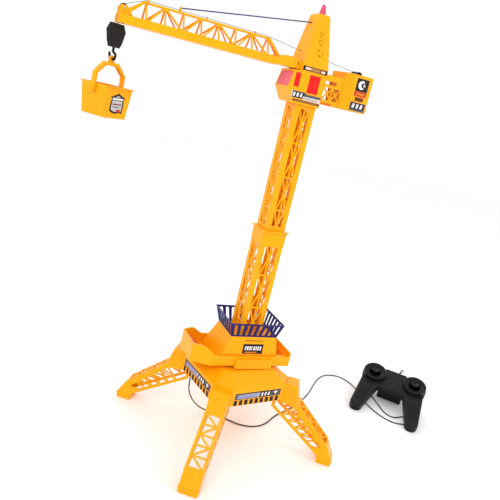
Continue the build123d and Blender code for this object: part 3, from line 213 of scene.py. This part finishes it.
SLOT_LOOKS = {
    "yellow_plastic": YELLOW, "black_plastic": BLACK, "grey_plastic": GREY, "white_plastic": WHITE,
    "navy_plastic": NAVY, "pink_window": PINK, "red_window": WINDOW_REVEAL_SHADE, "red_lens": LENS,
    "lamp_glow": LAMP, "steel": STEEL, "navy_cord": STAY_CORD, "grey_string": STRING,
    "battery_wrap": WRAP, "green_board": BOARD, "lead_rubber": LEAD,
}
NODE_LOOKS = {"left_stick": STICK_BLACK, "right_stick": STICK_BLACK, "handset_top": GRIP_BLACK,
              "handset_bottom": GRIP_BLACK}
for part in frame["record"]["subparts"]:
    node = frame["nodes"][part["node"]]
    look = NODE_LOOKS.get(part["node"], SLOT_LOOKS[part["material_slot"]])
    for material_slot in node.material_slots:
        material_slot.material = look


# ---------------------------------------------------------------- mesh helpers
def new_piece(name, mesh, body, materials):
    """Object from a mesh, with its materials, on its body if it has just one."""
    piece = bpy.data.objects.new(name, mesh)
    bpy.context.scene.collection.objects.link(piece)
    for material in materials:
        mesh.materials.append(material)
    if body:
        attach(piece, body)
    return piece


def prism(work, place, points, low, high, index):
    """Closed flat-topped prism over a polygon drawn on a face."""
    foot = [work.verts.new(place(u, v, low)) for u, v in points]
    top = [work.verts.new(place(u, v, high)) for u, v in points]
    faces = [work.faces.new(top), work.faces.new(list(reversed(foot)))]
    for i in range(len(points)):
        j = (i + 1) % len(points)
        faces.append(work.faces.new((foot[i], foot[j], top[j], top[i])))
    for face in faces:
        face.material_index = index


def sticker(name, body, origin, across, up, shapes):
    """Printed sticker: a film and the shapes printed on it, all in millimetres on a flat face."""
    across, up = Vector(across).normalized(), Vector(up).normalized()
    out = across.cross(up)
    origin = Vector(origin)

    def place(u, v, lift):
        return (origin + across * u + up * v + out * lift) * MM

    inks = []
    work = bmesh.new()
    for layer, (ink, points) in enumerate(shapes):
        if ink not in inks:
            inks.append(ink)
        prism(work, place, points, 0.02, 0.12 + 0.006 * layer, inks.index(ink))
    bmesh.ops.recalc_face_normals(work, faces=work.faces)
    mesh = bpy.data.meshes.new(name)
    work.to_mesh(mesh)
    work.free()
    return new_piece(name, mesh, body, inks)


def block(x0, y0, x1, y1, lean=0.0):
    """Four-sided shape, its top shifted sideways by lean."""
    return [(x0, y0), (x1, y0), (x1 + lean, y1), (x0 + lean, y1)]


def disc(x, y, r, count=20):
    """Round shape."""
    return [(x + r * cos(2 * pi * k / count), y + r * sin(2 * pi * k / count)) for k in range(count)]


def crescent(x, y, r, bite):
    """Outer arc of a ring closed by a shifted inner arc."""
    outer = [(x + r * cos(a), y + r * sin(a)) for a in (radians(60 + 12 * k) for k in range(21))]
    inner = [(x + bite + (r - bite) * cos(a), y + (r - bite) * sin(a))
             for a in (radians(300 - 12 * k) for k in range(21))]
    return outer + inner


# ---------------------------------------------------------------- stickers
INK_BLACK = printed("ink_black", (0.014, 0.010, 0.012))
INK_GREY = printed("ink_grey", (0.085, 0.085, 0.10))
INK_LILAC = printed("ink_lilac", (0.30, 0.31, 0.48))
INK_WHITE = printed("ink_white", (0.82, 0.80, 0.82))
INK_BROWN = printed("ink_brown", (0.16, 0.035, 0.012))
INK_TAN = printed("ink_tan", (0.42, 0.20, 0.06))
INK_BEIGE = printed("ink_beige", (0.70, 0.60, 0.50))
INK_RED = printed("ink_red", (0.55, 0.03, 0.02))
INK_ORANGE = printed("ink_orange", (0.85, 0.22, 0.01))
INK_SILVER = printed("ink_silver", (0.50, 0.49, 0.50))


def three_marks(x, y, width, height):
    """Three upright white marks, each notched differently: a plain pattern."""
    pitch = width / 3
    notches = (0.25, 0.0, 0.3)
    marks = []
    for k, notch in enumerate(notches):
        left = x + pitch * k
        marks.append((INK_WHITE, block(left, y, left + pitch * 0.55, y + height, height * 0.12)))
        marks.append((INK_BLACK, block(left + pitch * 0.16, y + height * (0.3 + notch),
                                       left + pitch * 0.42, y + height * (0.45 + notch), 0)))
    return marks


def base_sticker(index):
    """Hazard stripes under a grey band, on one flat side of the base."""
    angle = radians(BASE_YAW + 90 * index)
    origin = (BASE_HALF * cos(angle), BASE_HALF * sin(angle), 0)
    shapes = [(INK_GREY, block(-54, 125.0, 54, 138.6)),
              (INK_BLACK, block(-54, 137.2, 54, 138.6)),
              (INK_LILAC, block(-49, 126.6, -3, 135.8, 1.5)),
              (INK_SILVER, block(-3, 126.6, 1.5, 135.8, 1.5)),
              (INK_BLACK, block(4, 126.0, 30, 137.0, 1)),
              (INK_BLACK, disc(41.5, 131.4, 6.6)),
              (INK_SILVER, [(36.0, 134.6), (41.5, 126.6), (47.0, 134.6), (41.5, 136.8)]),
              (INK_WHITE, [(38.2, 133.9), (41.5, 129.0), (44.8, 133.9), (41.5, 135.2)])]
    shapes += three_marks(6.5, 127.6, 24, 7.6)
    stripe_pitch = 12.2
    for k in range(9):
        left = -54 + stripe_pitch * k
        shapes.append((INK_BLACK, block(left, 112.9, left + 6.6, 123.6, -0.6)))
        shapes.append((INK_BROWN, block(left + 6.6, 112.9, left + 7.6, 123.6, -0.6)))
    sticker(f"base_sticker_{index}", "base", origin,
            (-sin(angle), cos(angle), 0), (0, 0, 1), shapes)


for side_index in range(4):
    base_sticker(side_index)


def cab_stickers(side):
    """Marks under the cab's side windows and the nameless strip above them."""
    name = "front" if side < 0 else "back"
    origin = (0, side * CAB_HALF, 0)
    flip = -side

    def at(x0, z0, x1, z1):
        """Block between two places on the crane, drawn on this side."""
        low, high = sorted((flip * x0, flip * x1))
        return block(low, z0, high, z1)

    shapes = [(INK_GREY, at(-38, 687.5, -9.5, 699.2)), (INK_SILVER, at(-38, 687.5, -35.8, 699.2)),
              (INK_BLACK, at(-35.5, 688.5, -12.5, 698.2)),
              (INK_GREY, at(-9.5, 692.5, 21.4, 697.0)),
              (INK_BEIGE, at(-14, 686.2, 21.4, 692.5)), (INK_SILVER, at(-14, 690.6, 17, 691.6)),
              (INK_BROWN, at(-33, 681.6, 21.4, 685.6)), (INK_TAN, at(-30, 683.0, 18, 684.0))]
    marks_at = -34.5 if side < 0 else 13.0
    shapes += three_marks(marks_at, 690.0, 21, 6.6)
    for k in range(9):
        x = -12 + 3.4 * k
        shapes.append((INK_GREY, at(x, 687.4, x + 1.5, 690.2)))
    sticker(f"cab_sticker_{name}", "turntable", origin, (flip, 0, 0),
            (0, 0, 1), shapes)
    strip = [(INK_BROWN, at(-27, 735.4, 22, 743.4)), (INK_BLACK, at(-27, 735.4, -22.5, 743.4)),
             (INK_TAN, at(-10, 737.0, 8, 741.8)), (INK_BEIGE, at(-22, 737.8, -11, 741.4)),
             (INK_BEIGE, at(10, 737.4, 18, 741.0)), (INK_BLACK, at(18.6, 735.4, 22, 743.4))]
    sticker(f"head_strip_{name}", "turntable", origin, (flip, 0, 0),
            (0, 0, 1), strip)


for cab_side in (-1, 1):
    cab_stickers(cab_side)


def house_sticker(side):
    """Round mark, red block and grey strip on the winch house's flat side."""
    flip = -side

    def across(x):
        """Distance along the sticker of a place on the crane."""
        return flip * (x - HOUSE_MID_X)

    def at(x0, z0, x1, z1):
        """Block between two places on the crane, drawn on this side."""
        low, high = sorted((across(x0), across(x1)))
        return block(low, z0, high, z1)

    shapes = [(INK_BLACK, at(80, 724, 106, 746)), (INK_WHITE, crescent(across(92), 735, 7.6, 3.0)),
              (INK_SILVER, disc(across(97), 735, 2.6)),
              (INK_RED, at(80, 715, 106, 723.6)), (INK_ORANGE, at(84, 717.5, 102, 721)),
              (INK_BROWN, at(84, 706.5, 102, 713.5)),
              (INK_GREY, at(77, 689, 110, 704)), (INK_BLACK, at(79, 693, 108, 703.2))]
    shapes += three_marks(-12, 694.2, 26, 7.4)
    name = "front" if side < 0 else "back"
    sticker(f"house_sticker_{name}", "turntable",
            (HOUSE_MID_X, side * HOUSE_HALF, 0), (flip, 0, 0), (0, 0, 1), shapes)


for house_side in (-1, 1):
    house_sticker(house_side)


def pedestal_sticker(side):
    """Black plate with white bars on the pedestal's sloping side."""
    foot, top = (Vector((0, side * y, z)) for y, z in PEDESTAL_SIDE)
    base_v = 21.2
    shapes = [(INK_BLACK, block(-22, base_v, 22, base_v + 19.5, 1.0)),
              (INK_BROWN, block(-19, base_v + 1.2, 12, base_v + 4.6, 0.5)),
              (INK_ORANGE, block(-16, base_v + 1.8, 8, base_v + 3.6, 0.5)),
              (INK_BROWN, block(-19, base_v + 25.4, 21, base_v + 27.0))]
    for k in range(8):
        left = -17.5 + 4.6 * k
        shapes.append((INK_WHITE, block(left, base_v + 7.2, left + 3.5, base_v + 14.8, 0.8)))
    shapes.append((INK_BLACK, block(-1.8, base_v + 6.6, 0.6, base_v + 15.2, 0.8)))
    for k in range(5):
        left = -16 + 7.2 * k
        shapes.append((INK_BLACK, block(left, base_v + 9.6, left + 3.0, base_v + 11.4)))
    name = "front" if side < 0 else "back"
    sticker(f"pedestal_sticker_{name}", "turntable",
            foot + Vector((4.0, 0, 0)), (-side, 0, 0), top - foot, shapes)


for pedestal_side in (-1, 1):
    pedestal_sticker(pedestal_side)


def bucket_sticker():
    """Shield badge on the bucket's front face."""
    yaw = radians(LOAD_YAW)
    out = Vector((sin(yaw), -cos(yaw), 0))
    foot, top = (Vector((FALL_X, 0, z)) + out * half for half, z in BUCKET_SIDE)
    shield = [(0, 7.5), (6.5, 9.6), (14.2, 8.6), (14.2, 21.0), (13.0, 31.0), (15.4, 33.4),
              (8.0, 35.8), (0, 39.6), (-8.0, 35.8), (-15.4, 33.4), (-13.0, 31.0), (-14.2, 21.0),
              (-14.2, 12.0), (-8.6, 9.0)]
    middle, shrink = 22.5, 0.80
    inner = [(u * shrink, middle + (v - middle) * shrink) for u, v in shield]
    shapes = [(INK_BLACK, shield), (INK_SILVER, inner), (INK_GREY, block(-13.0, 28.0, 13.0, 33.6)),
              (INK_WHITE, block(-11.0, 29.4, 11.0, 32.0)), (INK_RED, block(1.0, 10.6, 10.0, 14.6)),
              (INK_BROWN, block(-9.6, 21.4, 9.6, 23.2)), (INK_GREY, block(-8.8, 17.4, 6.0, 18.8))]
    sticker("bucket_sticker", "bucket", foot, (cos(yaw), sin(yaw), 0),
            top - foot, shapes)


bucket_sticker()


# ---------------------------------------------------------------- ropes and winch
def tube(work, points, radius, sides=10):
    """Round tube through points, closed at both ends."""
    rings = []
    for i, point in enumerate(points):
        before, after = points[max(i - 1, 0)], points[min(i + 1, len(points) - 1)]
        along = (after - before).normalized()
        helper = Vector((0, 0, 1)) if abs(along.z) < 0.9 else Vector((1, 0, 0))
        side = along.cross(helper).normalized()
        other = along.cross(side)
        rings.append([work.verts.new(point + side * radius * cos(2 * pi * k / sides)
                                     + other * radius * sin(2 * pi * k / sides))
                      for k in range(sides)])
    for low, high in zip(rings, rings[1:]):
        for k in range(sides):
            j = (k + 1) % sides
            work.faces.new((low[k], low[j], high[j], high[k])).smooth = True
    work.faces.new(list(reversed(rings[0])))
    work.faces.new(rings[-1])


def tube_piece(name, body, material, points, radius, sides=10):
    """One round tube as a piece of its own."""
    work = bmesh.new()
    tube(work, [Vector(p) * MM for p in points], radius * MM, sides)
    bmesh.ops.recalc_face_normals(work, faces=work.faces)
    mesh = bpy.data.meshes.new(name)
    work.to_mesh(mesh)
    work.free()
    return new_piece(name, mesh, body, [material])


fall = tube_piece("hoist_fall_string", None, STRING,
                  [(FALL_X, 0, FALL_TOP_Z), (FALL_X, 0, 743.0), (FALL_X, 0, BLOCK_TOP_Z)], 0.4)
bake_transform(fall)
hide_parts("hoist_fall")


def string_on_drum(turns=11, radius=5.4, first_y=-11.9, width=10.6, steps=28):
    """One layer of string wound on the drum."""
    wound = []
    for k in range(steps * turns + 1):
        angle = 2 * pi * k / steps
        along = width * angle / (2 * pi * turns)
        wound.append((DRUM_X + radius * sin(angle), first_y + along, DRUM_Z + radius * cos(angle)))
    tube_piece("string_on_drum", "winch_drum", STRING, wound, 0.38, 6)


string_on_drum()


# ---------------------------------------------------------------- handset details
TILT = radians(20.0)
HANDSET_YAW = radians(45)
HANDSET_AT = Vector((505.3, 79.3, 52.3))
ACROSS = Vector((cos(HANDSET_YAW), -sin(HANDSET_YAW), 0))
UP_FACE = Vector((cos(TILT) * cos(HANDSET_YAW), cos(TILT) * sin(HANDSET_YAW), sin(TILT)))
FACE_OUT = ACROSS.cross(UP_FACE)
FACE_LIFT = 10.0                # the top face stands this far out from the middle plane
PAD_U = 51.8
PAD_RINGS = ((18.0, 14.9), (20.6, 15.8), (26.3, 19.4))      # (radius, lift)


def on_handset(u, v, lift):
    """Point given across, up the face and out of it."""
    return HANDSET_AT + ACROSS * u + UP_FACE * v + FACE_OUT * lift


def ring_points(u, radius, lift, count=48):
    """Circle on the handset face, closed on itself."""
    return [on_handset(u + radius * cos(2 * pi * k / count), radius * sin(2 * pi * k / count), lift)
            for k in range(count + 1)]


for pad_name, pad_u in (("left", -PAD_U), ("right", PAD_U)):
    for number, (radius, lift) in enumerate(PAD_RINGS):
        tube_piece(f"{pad_name}_pad_ring_{number}", "base", STICK_BLACK,
                   ring_points(pad_u, radius, lift), 0.45, 8)
    tube_piece(f"{pad_name}_stick_rim", f"{pad_name}_stick", STICK_BLACK,
               ring_points(pad_u, 7.8, 23.4), 0.5, 8)


def grip_ribs(side):
    """Raised ribs across the outer half of one grip."""
    work = bmesh.new()
    for k in range(7):
        down = 7.0 * k
        centre = side * (61.0 + down * 0.155)
        half = 11.5 - 0.25 * k
        points = []
        for t in range(-4, 5):
            u = centre + half * t / 4
            v = -64 - down - side * 2.2 * t / 8
            points.append(on_handset(u, v, FACE_LIFT + 0.1 * (1 - abs(t) / 4)) * MM)
        tube(work, points, 0.9 * MM, 8)
    bmesh.ops.recalc_face_normals(work, faces=work.faces)
    name = "left_grip_ribs" if side < 0 else "right_grip_ribs"
    mesh = bpy.data.meshes.new(name)
    work.to_mesh(mesh)
    work.free()
    new_piece(name, mesh, "base", [GRIP_BLACK])


for grip_side in (-1, 1):
    grip_ribs(grip_side)

sticker("handset_panel", "base", on_handset(0, 0, FACE_LIFT), ACROSS, UP_FACE,
        [(GRIP_BLACK, block(-16, 4, 16, 20)), (BLACK, block(-14, 6, -1, 18)),
         (BLACK, block(1, 6, 14, 18)), (GRIP_BLACK, block(-16, -24, 16, -22))])


# ---------------------------------------------------------------- lead
GLAND_TIP = on_handset(8.0, 44.0, 0)
F = 1.45                        # height of the lead's middle where it lies on the floor
LEAD_ROUTE = [
    (-82.0, 30.0, 98.0), (-82.0, 30.0, 84.0), (-78.0, 32.5, 67.0), (-68.0, 37.5, 48.0),
    (-54.0, 44.0, 30.0), (-37.0, 50.5, 14.0), (-17.0, 53.0, 3.6), (4.0, 42.0, F), (20.0, 20.0, F),
    (41.0, -1.0, F), (72.0, -11.0, F), (106.0, -1.0, F), (142.0, 29.0, F), (190.0, 50.0, F),
    (241.0, 84.0, F), (284.0, 119.0, F), (319.0, 158.0, F), (356.0, 193.0, F), (392.0, 208.0, F),
    (426.0, 196.0, F), (441.0, 155.0, F), (433.0, 108.0, F), (423.0, 62.0, F), (428.0, 16.0, F),
    (443.0, -16.0, F), (467.0, -27.5, F), (489.0, -26.5, F), (505.0, -19.5, F), (508.5, -5.0, F),
    (498.0, 5.0, F), (479.0, 1.0, F), (459.0, 3.0, F), (451.0, 24.0, F), (457.0, 52.0, F),
    (462.0, 80.0, F), (468.0, 106.0, F), (482.0, 130.0, F), (503.0, 150.0, F),
    (526.0, 160.0, 4.0), (548.0, 162.0, 12.0), (567.0, 154.0, 26.0), (577.0, 140.0, 42.0),
    (574.0, 126.0, 57.0), (561.0, 116.5, 68.0), tuple(GLAND_TIP + UP_FACE * 11.0), tuple(GLAND_TIP),
]


def lead():
    """The handset's lead as one smooth curve."""
    curve = bpy.data.curves.new("lead", "CURVE")
    curve.dimensions = "3D"
    spline = curve.splines.new("NURBS")
    spline.points.add(len(LEAD_ROUTE) - 1)
    for point, place in zip(spline.points, LEAD_ROUTE):
        point.co = (*(Vector(place) * MM), 1)
    spline.order_u = 3
    spline.use_endpoint_u = True
    spline.resolution_u = 8
    curve.bevel_depth = LEAD_D / 2 * MM
    curve.bevel_resolution = 4
    curve.use_fill_caps = True
    curve.materials.append(LEAD)
    piece = bpy.data.objects.new("lead", curve)
    bpy.context.scene.collection.objects.link(piece)
    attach(piece, "base")
    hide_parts("lead_cord")


lead()


# ---------------------------------------------------------------- stage, light, camera
def floor():
    """Plain pale floor."""
    work = bmesh.new()
    bmesh.ops.create_grid(work, x_segments=4, y_segments=4, size=6.0)
    mesh = bpy.data.meshes.new("floor")
    work.to_mesh(mesh)
    work.free()
    material, tree, shader = node_material("floor_white")
    coords = tree.nodes.new("ShaderNodeTexCoord").outputs["Object"]
    mottled_colour(tree, shader, coords, (0.985, 0.985, 0.985), 0.005, 3)
    shader.inputs["Roughness"].default_value = 0.9
    mesh.materials.append(material)
    piece = bpy.data.objects.new("floor", mesh)
    bpy.context.scene.collection.objects.link(piece)
    piece.location.z = -0.3 * MM


def area_light(name, place, target, size, power):
    """Round soft lamp aimed at a target."""
    lamp = bpy.data.lights.new(name, "AREA")
    lamp.shape = "DISK"
    lamp.size = size
    lamp.energy = power
    light = bpy.data.objects.new(name, lamp)
    bpy.context.scene.collection.objects.link(light)
    light.location = place
    light.rotation_euler = (Vector(target) - Vector(place)).to_track_quat("-Z", "Y").to_euler()


def studio():
    """Soft even light, shown with plain display colours so that the plastic keeps its strength."""
    bpy.context.scene.view_settings.view_transform = "Standard"
    world = bpy.data.worlds.new("studio")
    bpy.context.scene.world = world
    world.use_nodes = True
    world.node_tree.nodes["Background"].inputs["Color"].default_value = (1, 1, 1, 1)
    world.node_tree.nodes["Background"].inputs["Strength"].default_value = 1.0
    area_light("key", (-1.6, -1.8, 2.2), (0, 0, 0.4), 1.0, 24)
    area_light("fill", (1.8, -1.4, 1.2), (0, 0, 0.4), 1.6, 7)
    area_light("back", (0.8, 2.0, 2.0), (0, 0, 0.5), 1.5, 10)


def camera():
    """Camera from slightly above, held rolled as the view is."""
    azimuth, pitch, roll = radians(-26.71), radians(15.02), radians(13.45)
    back = Vector((sin(azimuth) * cos(pitch), -cos(azimuth) * cos(pitch), sin(pitch)))
    right = (-back).cross(Vector((0, 0, 1))).normalized()
    up = right.cross(-back)
    cam_right = right * cos(roll) + up * sin(roll)
    cam_up = up * cos(roll) - right * sin(roll)
    lens = bpy.data.cameras.new("camera")
    lens.lens = 40.83
    lens.sensor_width = 36
    piece = bpy.data.objects.new("camera", lens)
    bpy.context.scene.collection.objects.link(piece)
    turn = Matrix((cam_right, cam_up, back)).transposed()
    piece.matrix_world = Matrix.Translation((-0.5040, -0.9384, 0.6762)) @ turn.to_4x4()
    bpy.context.scene.camera = piece


floor()
studio()
camera()
